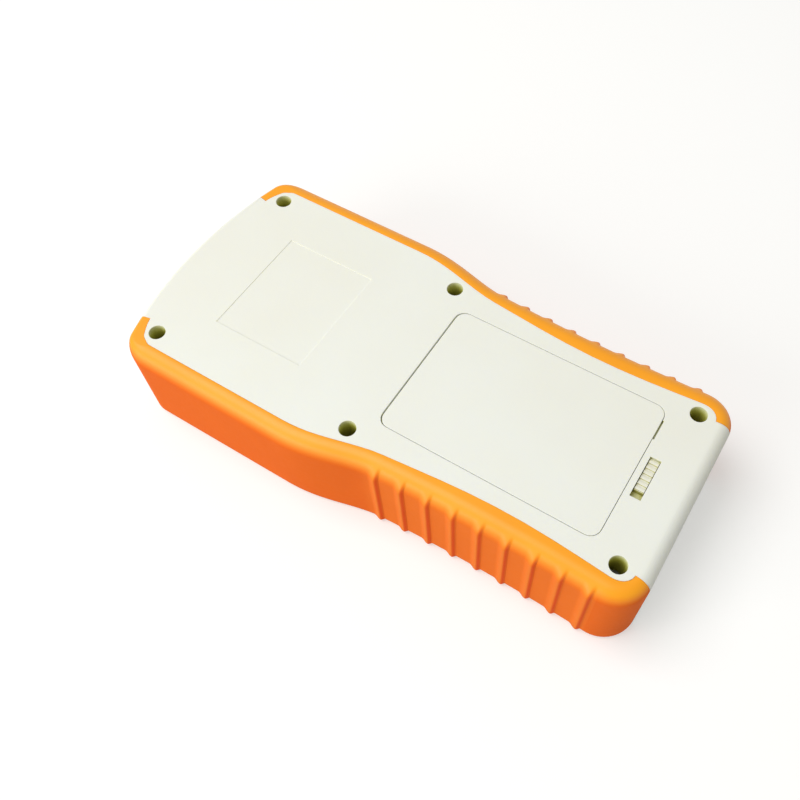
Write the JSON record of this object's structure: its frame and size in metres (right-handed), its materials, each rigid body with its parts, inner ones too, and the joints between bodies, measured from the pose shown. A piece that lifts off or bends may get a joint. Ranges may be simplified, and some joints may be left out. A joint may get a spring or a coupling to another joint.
{
  "type": "handheld enclosure",
  "caption": "Handheld instrument case: two screwed plastic half shells with ribbed soft side grips, an arched display end, and a latched battery door over a cell bay.",
  "frame": {"origin": "centre of the box that the case fills, at the surface that its front face lies on", "axes": "+Y towards the wide display end, +Z out of the back, +X to the right seen from the back with the display end up"},
  "size_m": [0.107, 0.22, 0.04],
  "materials": {
    "case_plastic": "fine satin texture",
    "door_plastic": "fine satin texture",
    "latch_plastic": "satin",
    "grip_rubber": "soft satin",
    "screw_steel": "zinc plated",
    "window_clear": "clear polished",
    "contact_spring": "nickel plated",
    "contact_plate": "nickel plated"
  },
  "bodies": {
    "enclosure": {"back_shell": "case_plastic", "front_shell": "case_plastic", "left_grip": "grip_rubber", "right_grip": "grip_rubber", "case_screws": "screw_steel", "display_window": "window_clear", "spring_contact_1": "contact_spring", "spring_contact_2": "contact_spring", "spring_contact_3": "contact_spring", "plate_contact_1": "contact_plate", "plate_contact_2": "contact_plate", "plate_contact_3": "contact_plate"},
    "battery_door": {"battery_door": "door_plastic"},
    "latch": {"latch_slider": "latch_plastic"}
  },
  "joints": [
    {"name": "door_hinge", "type": "hinge", "parent": "enclosure", "child": "battery_door", "pos_m": [0, -0.0003, 0.04], "axis": [-1, 0, 0], "range_deg": [0, 60]},
    {"name": "latch_slide", "type": "slide", "parent": "enclosure", "child": "latch", "axis": [-1, 0, 0], "range_m": [0, 0.0033]}
  ]
}
